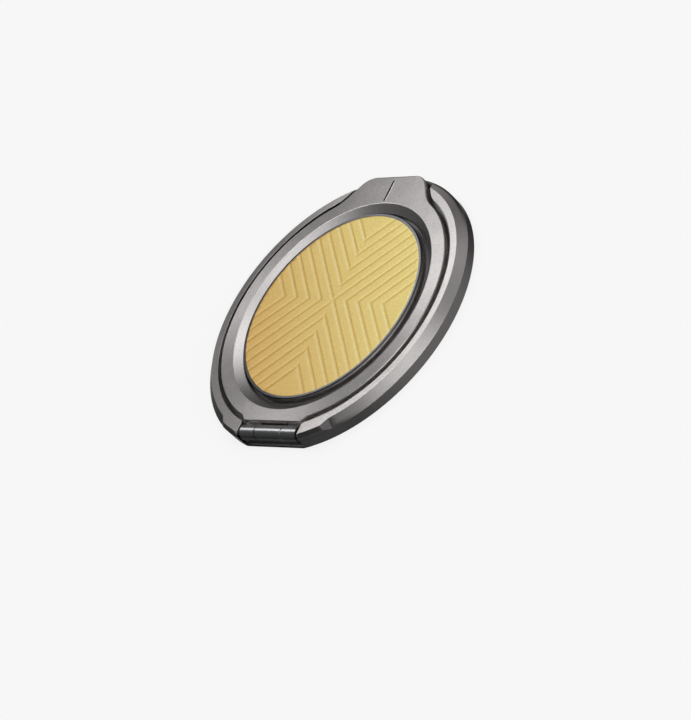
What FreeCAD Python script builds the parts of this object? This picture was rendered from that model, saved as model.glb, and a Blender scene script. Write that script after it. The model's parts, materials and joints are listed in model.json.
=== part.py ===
"""Magnetic phone kickstand: a round base that clings to a phone, with a folding ring stand.

The ring lies in a channel round a raised boss that carries a grooved inlay.  It swings on a
pin across the flat end of the base and is lifted by the tab at the opposite end.  Millimetres,
+Z out of the front, +Y from the hinge to the tab, origin at the centre of the back face.
"""
import FreeCAD, Part
import math
import os
import re
import Sketcher
from FreeCAD import Placement, Rotation, Vector

os.makedirs("parts", exist_ok=True)
doc = FreeCAD.newDocument("phone_kickstand")

# Driving sizes in millimetres and degrees
SIZES = {
    # folding ring
    "ring_outer_radius": 25.6,
    "ring_band": 4.65,
    "ring_thickness": 1.5,
    "ring_bevel_width": 1.74,
    "ring_bevel_depth": 0.9,
    "ring_edge": 0.15,
    "ring_flat": 0.4,
    "ring_gap": 0.85,
    "ring_lift": 0.1,
    "shoulder_run": 3.0,
    "shoulder_angle": 42.5,
    # lifting tab
    "tab_half_width": 7.4,
    "tab_setback": 0.73,
    "tab_flank_angle": 55.0,
    "tab_corner_radius": 4.3,
    "tab_throat_radius": 8.0,
    "tab_undercut": 0.5,
    "slit_width": 0.35,
    "slit_length": 4.5,
    "slit_margin": 0.95,
    "slit_depth": 0.3,
    # base rim, wings beside the hinge, channel and boss
    "rim_flat": 1.55,
    "rim_drop": 0.22,
    "bevel_width": 1.48,
    "bevel_height": 1.47,
    "back_edge": 0.12,
    "wing_span": 80.0,
    "wing_chamfer": 0.7,
    "wing_corner_radius": 0.9,
    "ramp_setback": 3.61,
    "ramp_heading": 53.0,
    "ramp_slope": 47.7,
    "floor_thickness": 0.35,
    "boss_gap": 0.55,
    "boss_drop": 0.05,
    "lip_width": 0.55,
    "lip_edge": 0.12,
    # grooved inlay
    "inlay_thickness": 0.8,
    "inlay_gap": 0.05,
    "inlay_proud": 0.09,
    "inlay_edge": 0.15,
    "adhesive_thickness": 0.1,
    "chevron_pitch": 3.42,
    "chevron_width": 0.85,
    "chevron_depth": 0.22,
    "chevron_count": 4,
    "chevron_shift": 0.4,
    # hinge
    "knuckle_radius": 1.48,
    "barrel_half": 7.46,
    "block_length": 6.9,
    "seam_gap": 0.2,
    "wing_gap": 0.63,
    "hinge_gap": 0.12,
    "hinge_clearance": 0.15,
    "shelf_thickness": 0.47,
    "shelf_reach": 0.12,
    "web_above": 0.45,
    "web_below": 0.6,
    "web_run": 1.0,
    "pin_radius": 0.55,
    "pin_play": 0.03,
    "pin_recess": 0.05,
    "pin_edge": 0.12,
    "washer_radius": 1.2,
    "washer_thickness": 0.16,
    "washer_play": 0.1,
    "rivet_radius": 0.6,
    "rivet_play": 0.03,
    "rivet_spacing": 4.4,
    # magnets and back cover
    "pad_thickness": 0.3,
    "pad_proud": 0.05,
    "plate_thickness": 0.3,
    "plate_gap": 0.1,
    "plate_setback": 1.2,
    "back_rim": 1.78,
    "magnet_thickness": 1.0,
    "magnet_width": 4.0,
    "magnet_gap": 0.7,
    "magnet_play": 0.15,
    "magnet_count": 18,
    "magnet_span": 315.0,
    "outer_wall": 2.23,
    "inner_rib": 0.65,
    "shunt_thickness": 0.2,
}

# Radii in plan, worked out from the ring outwards and inwards
RING_INNER = "(ring_outer_radius - ring_band)"
RING_CHORD = "(ring_outer_radius - ring_flat)"
CHANNEL = "(ring_outer_radius + ring_gap)"
RIM_EDGE = f"({CHANNEL} + rim_flat)"
BASE = f"({RIM_EDGE} + bevel_width)"
BOSS = f"({RING_INNER} - boss_gap)"
RECESS = f"({BOSS} - lip_width)"
INLAY = f"({RECESS} - inlay_gap)"
MAGNET_POCKET_OUTER = f"({BASE} - outer_wall)"
MAGNET_OUTER = f"({MAGNET_POCKET_OUTER} - magnet_play)"
MAGNET_INNER = f"({MAGNET_OUTER} - magnet_width)"
MAGNET_POCKET_INNER = f"({MAGNET_INNER} - magnet_play)"
CORE = f"({MAGNET_POCKET_INNER} - inner_rib)"
PLATE_RECESS = f"({BASE} - back_rim)"
PLATE = f"({PLATE_RECESS} - plate_gap)"
TAB_REACH = f"({BASE} - tab_setback)"

# Heights, stacked from the back face
METAL_BACK = "pad_proud"
PLATE_TOP = "(pad_thickness + plate_thickness)"
MAGNET_TOP = f"({PLATE_TOP} + magnet_thickness)"
POCKET_TOP = f"({MAGNET_TOP} + shunt_thickness)"
FLOOR = f"({POCKET_TOP} + floor_thickness)"
RING_BOTTOM = f"({FLOOR} + ring_lift)"
RING_TOP = f"({RING_BOTTOM} + ring_thickness)"
RIM_TOP = f"({RING_TOP} - rim_drop)"
WALL_TOP = f"({RIM_TOP} - bevel_height)"
BOSS_TOP = f"({RING_TOP} - boss_drop)"
INLAY_TOP = f"({BOSS_TOP} + inlay_proud)"
INLAY_BOTTOM = f"({INLAY_TOP} - inlay_thickness)"
SEAT = f"({INLAY_BOTTOM} - adhesive_thickness)"

# Hinge axis and the pocket that it lies in
CRADLE = "(knuckle_radius + hinge_clearance)"
SHELF_TOP = f"({METAL_BACK} + shelf_thickness)"
HINGE_HEIGHT = f"({SHELF_TOP} + {CRADLE})"
HINGE_REACH = f"({RING_CHORD} + hinge_gap + knuckle_radius)"
BASE_CHORD = f"({HINGE_REACH} + knuckle_radius + shelf_reach)"
POCKET_HALF = "(barrel_half + wing_gap)"
WEB_BOTTOM = f"({RING_BOTTOM} - web_below)"
WEB_END = f"({RING_CHORD} - web_run - web_below)"
HINGE_FLOOR = f"({WEB_BOTTOM} - hinge_clearance)"
HINGE_POCKET_END = f"({WEB_END} - hinge_clearance)"
FOOT_END = f"({HINGE_POCKET_END} + hinge_clearance)"
RIVET_REACH = f"(({HINGE_REACH} - knuckle_radius + {FOOT_END}) / 2)"
PLATE_CHORD = f"({HINGE_REACH} - plate_setback)"
BLOCK_HALF = "(block_length / 2)"
OUTER_KNUCKLE_START = f"({BLOCK_HALF} + seam_gap)"

sheet = doc.addObject("Spreadsheet::Sheet", "Sizes")
for row, (name, size) in enumerate(SIZES.items(), start=1):
    sheet.set(f"A{row}", name)
    sheet.set(f"B{row}", str(size))
    sheet.setAlias(f"B{row}", name)
doc.recompute()


def number(expression):
    """The present value of a size expression."""
    return float(sheet.evalExpression(expression))


def bound(expression):
    """A size expression with every size name pointing at its cell."""
    return re.sub(r"[a-z_]+", lambda word: f"Sizes.{word[0]}" if word[0] in SIZES else word[0], expression)


def new_body(label):
    body = doc.addObject("PartDesign::Body", label)
    body.Label = label
    return body


def origin_plane(body, role):
    return next(feature for feature in body.Origin.OriginFeatures if feature.Role == role)


def sketch_on(body, name, role, lift="0", along="0"):
    """A sketch on an origin plane, lifted along the plane's normal and moved up its own vertical."""
    sketch = body.newObject("Sketcher::SketchObject", name)
    sketch.AttachmentSupport = [(origin_plane(body, role), "")]
    sketch.MapMode = "FlatFace"
    sketch.setExpression("AttachmentOffset.Base.z", bound(lift))
    sketch.setExpression("AttachmentOffset.Base.y", bound(along))
    return sketch


def hold(sketch, kind, geometry, point, expression):
    """Dimension a point from the sketch's origin, bound to the sheet."""
    value = number(expression)
    index = sketch.addConstraint(Sketcher.Constraint(kind, -1, 1, geometry, point, value))
    sketch.setExpression(f"Constraints[{index}]", bound(expression))


def polygon(sketch, corners):
    """A closed outline of straight edges through corners given as pairs of size expressions."""
    spots = [Vector(number(across), number(up), 0) for across, up in corners]
    first = sketch.GeometryCount
    count = len(spots)
    for index in range(count):
        sketch.addGeometry(Part.LineSegment(spots[index], spots[(index + 1) % count]), False)
    for index in range(count):
        following = first + (index + 1) % count
        sketch.addConstraint(Sketcher.Constraint("Coincident", first + index, 2, following, 1))
    for index, (across, up) in enumerate(corners):
        hold(sketch, "DistanceX", first + index, 1, across)
        hold(sketch, "DistanceY", first + index, 1, up)
    return sketch


def rectangle(sketch, left, low, right, high):
    return polygon(sketch, [(left, low), (right, low), (right, high), (left, high)])


def circle(sketch, radius, across="0", up="0"):
    """A circle with its centre and radius bound to the sheet."""
    centre = Vector(number(across), number(up), 0)
    index = sketch.addGeometry(Part.Circle(centre, Vector(0, 0, 1), number(radius)), False)
    hold(sketch, "DistanceX", index, 3, across)
    hold(sketch, "DistanceY", index, 3, up)
    limit = sketch.addConstraint(Sketcher.Constraint("Radius", index, number(radius)))
    sketch.setExpression(f"Constraints[{limit}]", bound(radius))
    return sketch


def cut_circle(sketch, radius, chord):
    """A circle about the origin, cut off straight below the origin by a chord."""
    size, depth = number(radius), number(chord)
    half = math.sqrt(size ** 2 - depth ** 2)
    start = math.atan2(-depth, half)
    arc = Part.ArcOfCircle(Part.Circle(Vector(), Vector(0, 0, 1), size), start, math.pi - start)
    bow = sketch.addGeometry(arc, False)
    flat = sketch.addGeometry(Part.LineSegment(Vector(-half, -depth, 0), Vector(half, -depth, 0)), False)
    sketch.addConstraint(Sketcher.Constraint("Coincident", bow, 3, -1, 1))
    sketch.addConstraint(Sketcher.Constraint("Coincident", bow, 2, flat, 1))
    sketch.addConstraint(Sketcher.Constraint("Coincident", flat, 2, bow, 1))
    sketch.addConstraint(Sketcher.Constraint("Horizontal", flat))
    limit = sketch.addConstraint(Sketcher.Constraint("Radius", bow, size))
    sketch.setExpression(f"Constraints[{limit}]", bound(radius))
    hold(sketch, "DistanceY", flat, 1, f"-{chord}")
    return sketch


def extrude(kind, name, sketch, length, symmetric=False, backwards=False):
    """Pad or pocket a sketch by a bound length, on one side or evenly on both."""
    body = sketch.getParentGeoFeatureGroup()
    feature = body.newObject(f"PartDesign::{kind}", name)
    feature.Profile = sketch
    feature.SideType = "Symmetric" if symmetric else "One side"
    feature.Reversed = backwards
    feature.setExpression("Length", bound(length))
    return feature


def turn(kind, name, sketch, angle="360"):
    """Revolve or groove a section about the part's vertical axis, evenly to both sides."""
    body = sketch.getParentGeoFeatureGroup()
    feature = body.newObject(f"PartDesign::{kind}", name)
    feature.Profile = sketch
    feature.ReferenceAxis = (sketch, ["V_Axis"])
    feature.Midplane = True
    feature.setExpression("Angle", bound(angle))
    return feature


def mirrored(name, feature):
    """Repeat a feature on the other side of the part's middle plane."""
    body = feature.getParentGeoFeatureGroup()
    copy = body.newObject("PartDesign::Mirrored", name)
    copy.Originals = [feature]
    copy.MirrorPlane = (origin_plane(body, "YZ_Plane"), [""])
    body.Tip = copy
    return copy


def dress(kind, name, feature, chosen, size):
    """Round or chamfer the edges of a feature that the test picks out."""
    doc.recompute()
    edges = feature.Shape.Edges
    names = [f"Edge{index}" for index, edge in enumerate(edges, start=1) if chosen(edge)]
    if not names:
        raise RuntimeError(f"{name}: no edge to dress")
    dressed = feature.getParentGeoFeatureGroup().newObject(f"PartDesign::{kind}", name)
    dressed.Base = (feature, names)
    dressed.setExpression("Radius" if kind == "Fillet" else "Size", bound(size))
    return dressed


NEAR = 0.02


def upright_at(across, along):
    """A test for straight upright edges at a place in plan, on either side of the middle."""
    def chosen(edge):
        box = edge.BoundBox
        upright = box.XLength < NEAR and box.YLength < NEAR and box.ZLength > NEAR
        return upright and abs(abs(box.XMin) - across) < NEAR and abs(box.YMin - along) < NEAR
    return chosen


def circle_at(radius, height):
    """A test for arcs about the part's axis with a given radius and height."""
    def chosen(edge):
        box = edge.BoundBox
        round_edge = isinstance(edge.Curve, Part.Circle)
        level = abs(box.ZMin - height) < NEAR and abs(box.ZMax - height) < NEAR
        return round_edge and level and abs(edge.Curve.Radius - radius) < NEAR
    return chosen


def flank_meets(half_width, radius):
    """Where a tab flank, sloping out from half_width at the tab's end, meets a circle in plan."""
    slope = math.tan(math.radians(number("tab_flank_angle")))
    reach = number(TAB_REACH)
    lean = half_width + reach / slope
    a = 1 + 1 / slope ** 2
    b = -2 * lean / slope
    c = lean ** 2 - radius ** 2
    along = (-b + math.sqrt(b ** 2 - 4 * a * c)) / (2 * a)
    return lean - along / slope, along


def flank_corners(half_width, inner, outer):
    """The four corners of a band between the two tab flanks, from inner to outer along Y."""
    def across(along):
        return f"({half_width} + ({TAB_REACH} - {along}) / tan(tab_flank_angle))"
    return [
        (f"-{across(inner)}", inner),
        (across(inner), inner),
        (across(outer), outer),
        (f"-{across(outer)}", outer),
    ]


# Base: one machined piece with rim, bevel, ring channel, boss, magnet pocket and hinge pocket
NOTCH_HALF = "(tab_half_width + ring_gap / sin(tab_flank_angle))"


def make_base_frame():
    body = new_body("base_frame")

    # Beside the hinge the rim is full height, and a sloping face on each side leads into the bevel
    wing = sketch_on(body, "wing_section", "YZ_Plane")
    polygon(wing, [
        (f"-{CHANNEL}", FLOOR),
        (f"-{BASE}", FLOOR),
        (f"-{BASE}", f"{RIM_TOP} - wing_chamfer"),
        (f"-({BASE} - wing_chamfer)", RIM_TOP),
        (f"-{CHANNEL}", RIM_TOP),
    ])
    turn("Revolution", "wings", wing, "wing_span")
    ramp = sketch_on(body, "ramp_section", "YZ_Plane")
    ramp.AttachmentOffset = Placement(Vector(), Rotation(Vector(0, 1, 0), number("ramp_heading")))
    ramp.setExpression("AttachmentOffset.Rotation.Angle", bound("ramp_heading"))
    ramp_foot = f"({BASE} - ramp_setback)"
    ramp_fall = f"({RIM_TOP} - {METAL_BACK})"
    polygon(ramp, [
        (f"-{ramp_foot}", RIM_TOP),
        (f"-({ramp_foot} + {ramp_fall} / tan(ramp_slope))", METAL_BACK),
        (f"-2 * {BASE}", METAL_BACK),
        (f"-2 * {BASE}", f"2 * {RIM_TOP}"),
        (f"-{ramp_foot}", f"2 * {RIM_TOP}"),
    ])
    ramp_cut = extrude("Pocket", "ramp", ramp, f"4 * {BASE}", symmetric=True)
    mirrored("ramps", ramp_cut)

    section = sketch_on(body, "section", "YZ_Plane")
    polygon(section, [
        (CORE, METAL_BACK),
        (f"{BASE} - back_edge", METAL_BACK),
        (BASE, f"{METAL_BACK} + back_edge"),
        (BASE, WALL_TOP),
        (RIM_EDGE, RIM_TOP),
        (CHANNEL, RIM_TOP),
        (CHANNEL, FLOOR),
        (BOSS, FLOOR),
        (BOSS, BOSS_TOP),
        (RECESS, BOSS_TOP),
        (RECESS, SEAT),
        ("0", SEAT),
        ("0", POCKET_TOP),
        (CORE, POCKET_TOP),
    ])
    turn("Revolution", "rim_and_boss", section)

    magnets = sketch_on(body, "magnet_pocket_section", "YZ_Plane")
    rectangle(magnets, MAGNET_POCKET_INNER, METAL_BACK, MAGNET_POCKET_OUTER, POCKET_TOP)
    turn("Groove", "magnet_pocket", magnets, "magnet_span")

    recess = sketch_on(body, "plate_recess_outline", "XY_Plane", METAL_BACK)
    cut_circle(recess, PLATE_RECESS, f"({PLATE_CHORD} + plate_gap)")
    extrude("Pocket", "plate_recess", recess, f"{PLATE_TOP} - {METAL_BACK}", backwards=True)

    # The hinge end: a straight front, a shelf and cradle under the barrel, and room for the ring's webs
    front = sketch_on(body, "front_outline", "XY_Plane")
    rectangle(front, f"-{BASE}", f"-2 * {BASE}", BASE, f"-{BASE_CHORD}")
    extrude("Pocket", "front_flat", front, f"2 * {RIM_TOP}", symmetric=True)
    hinge = sketch_on(body, "hinge_pocket_section", "YZ_Plane")
    polygon(hinge, [
        (f"-2 * {BASE}", SHELF_TOP),
        (f"-{HINGE_REACH}", SHELF_TOP),
        (f"-{HINGE_REACH}", HINGE_FLOOR),
        (f"-{HINGE_POCKET_END}", HINGE_FLOOR),
        (f"-{HINGE_POCKET_END}", f"2 * {RIM_TOP}"),
        (f"-2 * {BASE}", f"2 * {RIM_TOP}"),
    ])
    extrude("Pocket", "hinge_pocket", hinge, f"2 * {POCKET_HALF}", symmetric=True)
    cradle = sketch_on(body, "cradle_section", "YZ_Plane")
    circle(cradle, CRADLE, f"-{HINGE_REACH}", HINGE_HEIGHT)
    extrude("Pocket", "cradle", cradle, f"2 * {POCKET_HALF}", symmetric=True)

    notch = sketch_on(body, "notch_outline", "XY_Plane", FLOOR)
    inner = f"({BOSS} + boss_gap / 2)"
    polygon(notch, flank_corners(NOTCH_HALF, inner, f"({BASE} + tab_setback)"))
    cut = extrude("Pocket", "tab_notch", notch, f"{RIM_TOP}", backwards=True)

    throat = upright_at(*flank_meets(number(NOTCH_HALF), number(CHANNEL)))
    cut = dress("Fillet", "notch_throat", cut, throat, "tab_throat_radius - ring_gap")
    wing_face = number(POCKET_HALF)
    wing_corner = upright_at(wing_face, -math.sqrt(number(CHANNEL) ** 2 - wing_face ** 2))
    cut = dress("Fillet", "wing_corners", cut, wing_corner, "wing_corner_radius")
    lip = circle_at(number(BOSS), number(BOSS_TOP))
    dress("Chamfer", "lip_edge", cut, lip, "lip_edge")

    holes = sketch_on(body, "rivet_holes_outline", "XY_Plane", METAL_BACK)
    for side in ("", "-"):
        circle(holes, "rivet_radius + rivet_play", f"{side}rivet_spacing / 2", f"-{RIVET_REACH}")
    extrude("Pocket", "rivet_holes", holes, FLOOR, backwards=True)
    return body


# Stand ring: bevelled flat ring with the tab, the straight hinge end and its two outer knuckles
def make_stand_ring():
    body = new_body("stand_ring")
    disc = sketch_on(body, "disc_outline", "XY_Plane", RING_BOTTOM)
    circle(disc, "ring_outer_radius")
    extrude("Pad", "disc", disc, "ring_thickness")
    tab = sketch_on(body, "tab_outline", "XY_Plane", RING_BOTTOM)
    polygon(tab, flank_corners("tab_half_width", f"({RING_INNER} - ring_band)", TAB_REACH))
    extrude("Pad", "tab", tab, "ring_thickness")
    shoulder = sketch_on(body, "shoulder_outline", "XY_Plane", RING_BOTTOM)
    shoulder_side = "(barrel_half + shoulder_run)"
    shoulder_foot = f"-({RING_CHORD} - shoulder_run * tan(shoulder_angle))"
    polygon(shoulder, [
        (f"-{shoulder_side}", "0"),
        (f"-{shoulder_side}", shoulder_foot),
        ("-barrel_half", f"-{RING_CHORD}"),
        ("barrel_half", f"-{RING_CHORD}"),
        (shoulder_side, shoulder_foot),
        (shoulder_side, "0"),
    ])
    extrude("Pad", "shoulders", shoulder, "ring_thickness")
    chord = sketch_on(body, "chord_outline", "XY_Plane", RING_BOTTOM)
    rectangle(chord, f"-{BASE}", f"-2 * {BASE}", BASE, f"-{RING_CHORD}")
    blank = extrude("Pocket", "hinge_flat", chord, "ring_thickness", backwards=True)

    corners = upright_at(number("tab_half_width"), number(TAB_REACH))
    blank = dress("Fillet", "tab_corners", blank, corners, "tab_corner_radius")
    throat = upright_at(*flank_meets(number("tab_half_width"), number("ring_outer_radius")))
    dress("Fillet", "tab_throat", blank, throat, "tab_throat_radius")

    hole = sketch_on(body, "hole_section", "YZ_Plane")
    polygon(hole, [
        ("0", f"{RING_BOTTOM} - ring_thickness"),
        (RING_INNER, f"{RING_BOTTOM} - ring_thickness"),
        (RING_INNER, f"{RING_TOP} - ring_bevel_depth"),
        (f"{RING_INNER} + ring_bevel_width", RING_TOP),
        (f"{RING_INNER} + ring_bevel_width", f"{RING_TOP} + ring_thickness"),
        ("0", f"{RING_TOP} + ring_thickness"),
    ])
    ring = turn("Groove", "finger_hole", hole)

    # Edges broken all round the top outline, and a slope under the tab's end for a fingernail
    top = number(RING_TOP)
    hole_edge = circle_at(number(RING_INNER) + number("ring_bevel_width"), top)

    def top_outline(edge):
        box = edge.BoundBox
        level = abs(box.ZMin - top) < NEAR and abs(box.ZMax - top) < NEAR
        return level and not hole_edge(edge)

    dress("Chamfer", "top_edge", ring, top_outline, "ring_edge")
    nail = sketch_on(body, "nail_slope_section", "YZ_Plane")
    polygon(nail, [
        (f"{TAB_REACH} - tab_undercut", RING_BOTTOM),
        (f"{TAB_REACH} + tab_undercut", RING_BOTTOM),
        (f"{TAB_REACH} + tab_undercut", f"{RING_BOTTOM} + 2 * tab_undercut"),
    ])
    extrude("Pocket", "nail_slope", nail, "4 * tab_half_width", symmetric=True)

    slit = sketch_on(body, "slit_outline", "XY_Plane", RING_TOP)
    slit_end = f"({TAB_REACH} - slit_margin)"
    rectangle(slit, "-slit_width / 2", f"{slit_end} - slit_length", "slit_width / 2", slit_end)
    extrude("Pocket", "slit", slit, "slit_depth")

    # Outer knuckles, each on a web from under the ring
    outer_length = f"barrel_half - {OUTER_KNUCKLE_START}"
    knuckle = sketch_on(body, "knuckle_outline", "YZ_Plane", OUTER_KNUCKLE_START)
    circle(knuckle, "knuckle_radius", f"-{HINGE_REACH}", HINGE_HEIGHT)
    web = sketch_on(body, "web_outline", "YZ_Plane", OUTER_KNUCKLE_START)
    polygon(web, [
        (f"-{HINGE_REACH}", WEB_BOTTOM),
        (f"-({RING_CHORD} - web_run)", WEB_BOTTOM),
        (f"-{WEB_END}", RING_BOTTOM),
        (f"-{WEB_END}", f"{RING_BOTTOM} + web_above"),
        (f"-{HINGE_REACH}", f"{RING_BOTTOM} + web_above"),
    ])
    web_pad = extrude("Pad", "web", web, outer_length)
    mirrored("webs", web_pad)
    knuckle_pad = extrude("Pad", "knuckle", knuckle, outer_length)
    mirrored("knuckles", knuckle_pad)
    bore = sketch_on(body, "bore_outline", "YZ_Plane")
    circle(bore, "pin_radius + pin_play", f"-{HINGE_REACH}", HINGE_HEIGHT)
    extrude("Pocket", "pin_bore", bore, "4 * barrel_half", symmetric=True)
    return body


# Hinge block: the middle knuckle on a foot that is riveted to the floor of the hinge pocket
def make_hinge_block():
    body = new_body("hinge_block")
    foot = sketch_on(body, "foot_outline", "YZ_Plane")
    rectangle(foot, f"-{HINGE_REACH}", HINGE_FLOOR, f"-{FOOT_END}", FLOOR)
    extrude("Pad", "foot", foot, "block_length", symmetric=True)
    knuckle = sketch_on(body, "knuckle_outline", "YZ_Plane")
    circle(knuckle, "knuckle_radius", f"-{HINGE_REACH}", HINGE_HEIGHT)
    extrude("Pad", "knuckle", knuckle, "block_length", symmetric=True)
    bore = sketch_on(body, "bore_outline", "YZ_Plane")
    circle(bore, "pin_radius + pin_play", f"-{HINGE_REACH}", HINGE_HEIGHT)
    extrude("Pocket", "pin_bore", bore, "2 * block_length", symmetric=True)
    holes = sketch_on(body, "rivet_holes_outline", "XY_Plane", HINGE_FLOOR)
    for side in ("", "-"):
        circle(holes, "rivet_radius + rivet_play", f"{side}rivet_spacing / 2", f"-{RIVET_REACH}")
    extrude("Pocket", "rivet_holes", holes, f"{FLOOR} - {HINGE_FLOOR}", backwards=True)
    return body


def make_hinge_pin():
    body = new_body("hinge_pin")
    outline = sketch_on(body, "pin_outline", "YZ_Plane")
    circle(outline, "pin_radius", f"-{HINGE_REACH}", HINGE_HEIGHT)
    pin = extrude("Pad", "pin", outline, "2 * (barrel_half - pin_recess)", symmetric=True)
    dress("Chamfer", "pin_ends", pin, lambda edge: isinstance(edge.Curve, Part.Circle), "pin_edge")
    return body


def make_friction_washer(label, side):
    """A thin washer round the pin, in the middle of the seam between two knuckles."""
    body = new_body(label)
    place = f"{side}({BLOCK_HALF} + seam_gap / 2)"
    outline = sketch_on(body, "washer_outline", "YZ_Plane", place)
    circle(outline, "washer_radius", f"-{HINGE_REACH}", HINGE_HEIGHT)
    circle(outline, "pin_radius + washer_play", f"-{HINGE_REACH}", HINGE_HEIGHT)
    extrude("Pad", "washer", outline, "washer_thickness", symmetric=True)
    return body


def make_hinge_rivet(label, side):
    """A plain rivet, flush at both ends, through the hinge block's foot and the base under it."""
    body = new_body(label)
    outline = sketch_on(body, "rivet_outline", "XY_Plane", PLATE_TOP)
    circle(outline, "rivet_radius", f"{side}rivet_spacing / 2", f"-{RIVET_REACH}")
    extrude("Pad", "rivet", outline, f"{FLOOR} - {PLATE_TOP}")
    return body


# Inlay: a thin disc with nested chevron grooves, glued into the boss
def make_inlay_disc():
    body = new_body("inlay_disc")
    outline = sketch_on(body, "disc_outline", "XY_Plane", INLAY_BOTTOM)
    circle(outline, INLAY)
    disc = extrude("Pad", "disc", outline, "inlay_thickness")
    dress("Chamfer", "rim_edge", disc, circle_at(number(INLAY), number(INLAY_TOP)), "inlay_edge")

    half_rise = "(chevron_width / sqrt(2))"

    def chevron(sketch, apex):
        """A band bent to a right angle that opens away from the pattern's centre."""
        polygon(sketch, [
            ("0", f"{apex} - {half_rise}"),
            (INLAY, f"{apex} - {half_rise} + {INLAY}"),
            (INLAY, f"{apex} + {half_rise} + {INLAY}"),
            ("0", f"{apex} + {half_rise}"),
            (f"-{INLAY}", f"{apex} + {half_rise} + {INLAY}"),
            (f"-{INLAY}", f"{apex} - {half_rise} + {INLAY}"),
        ])

    def groove_set(name, steps, turns):
        sketch = sketch_on(body, f"{name}_outline", "XY_Plane", INLAY_TOP, "chevron_shift")
        for step in steps:
            chevron(sketch, f"{step} * chevron_pitch")
        grooves = extrude("Pocket", name, sketch, "chevron_depth")
        pattern = body.newObject("PartDesign::PolarPattern", f"{name}_round")
        pattern.Originals = [grooves]
        pattern.Axis = (sketch, ["N_Axis"])
        pattern.Angle = 360
        pattern.Occurrences = turns
        body.Tip = pattern

    groove_set("cross", [0], 2)
    groove_set("chevrons", range(1, int(number("chevron_count")) + 1), 4)
    return body


def make_round_sheet(label, radius, low, thickness):
    """A thin round sheet."""
    sheet_body = new_body(label)
    outline = sketch_on(sheet_body, "outline", "XY_Plane", low)
    circle(outline, radius)
    extrude("Pad", "sheet", outline, thickness)
    return sheet_body


def make_back_sheet(label, low, thickness):
    """A sheet that covers the magnets and stops short of the hinge."""
    body = new_body(label)
    outline = sketch_on(body, "outline", "XY_Plane", low)
    cut_circle(outline, PLATE, PLATE_CHORD)
    extrude("Pad", "sheet", outline, thickness)
    return body


# Magnets and the steel strip that closes their field lie in one open ring, with its gap at the hinge
def make_ring_sector(label, low, thickness, sweep, heading):
    """A flat sector of the magnet ring that starts at a heading about the vertical axis."""
    sector = doc.addObject("Part::Cut", label)
    sector.Label = label
    outer = doc.addObject("Part::Cylinder", f"{label}_outside")
    outer.setExpression("Radius", bound(MAGNET_OUTER))
    outer.setExpression("Angle", bound(sweep))
    inner = doc.addObject("Part::Cylinder", f"{label}_inside")
    inner.setExpression("Radius", bound(MAGNET_INNER))
    for cylinder in (outer, inner):
        cylinder.setExpression("Height", bound(thickness))
    sector.Base = outer
    sector.Tool = inner
    sector.Placement = Placement(Vector(), Rotation(Vector(0, 0, 1), number(heading)))
    sector.setExpression("Placement.Base.z", bound(low))
    sector.setExpression("Placement.Rotation.Angle", bound(heading))
    return sector


MAGNET_PITCH = "(magnet_span / magnet_count)"
RING_START = "(90 - magnet_span / 2)"

pieces = [
    make_base_frame(),
    make_stand_ring(),
    make_hinge_block(),
    make_hinge_pin(),
    make_friction_washer("friction_washer_left", "-"),
    make_friction_washer("friction_washer_right", ""),
    make_hinge_rivet("hinge_rivet_left", "-"),
    make_hinge_rivet("hinge_rivet_right", ""),
    make_inlay_disc(),
    make_round_sheet("inlay_adhesive", INLAY, SEAT, "adhesive_thickness"),
    make_back_sheet("back_plate", "pad_thickness", "plate_thickness"),
    make_back_sheet("back_pad", "0", "pad_thickness"),
    make_ring_sector("shunt_ring", MAGNET_TOP, "shunt_thickness",
                     "magnet_span - magnet_gap", f"{RING_START} + magnet_gap / 2"),
]
for index in range(int(number("magnet_count"))):
    heading = f"{RING_START} + {index} * {MAGNET_PITCH} + magnet_gap / 2"
    sweep = f"{MAGNET_PITCH} - magnet_gap"
    pieces.append(make_ring_sector(f"magnet_{index + 1:02d}", PLATE_TOP, "magnet_thickness", sweep, heading))

doc.recompute()

# Every object has to be sound, and every cut has to take material away, before anything is written
for item in doc.Objects:
    if {"Invalid", "Error"} & set(item.State):
        raise RuntimeError(f"{item.Label} failed: {item.State}")
    if item.TypeId in ("PartDesign::Pocket", "PartDesign::Groove"):
        if item.Shape.Volume >= item.BaseFeature.Shape.Volume:
            raise RuntimeError(f"{item.Label} cuts nothing")
for piece in pieces:
    if piece.Shape.isNull() or not piece.Shape.isValid() or len(piece.Shape.Solids) != 1:
        raise RuntimeError(f"{piece.Label} is not one sound solid")
for piece in pieces:
    piece.Shape.exportStep(f"parts/{piece.Label}.step")
    print(f"{piece.Label}: {piece.Shape.Volume:.2f} mm3")
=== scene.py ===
# %% [markdown]
# # A magnetic phone kickstand
# The object lies on its back on a pale floor: a bevelled base of blasted gunmetal, a folding ring on a
# polished barrel hinge, and a golden inlay with pressed chevrons. The solids come from the CAD model
# and stay where they are. This lesson dresses them: it presses the inlay anew as a fine surface, gives
# every metal, plastic and rubber its own procedural finish, and lights the lot softly.

# %% Load the frame
import json
import math

import bpy
import numpy as np
from mathutils import Matrix, Vector


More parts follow.
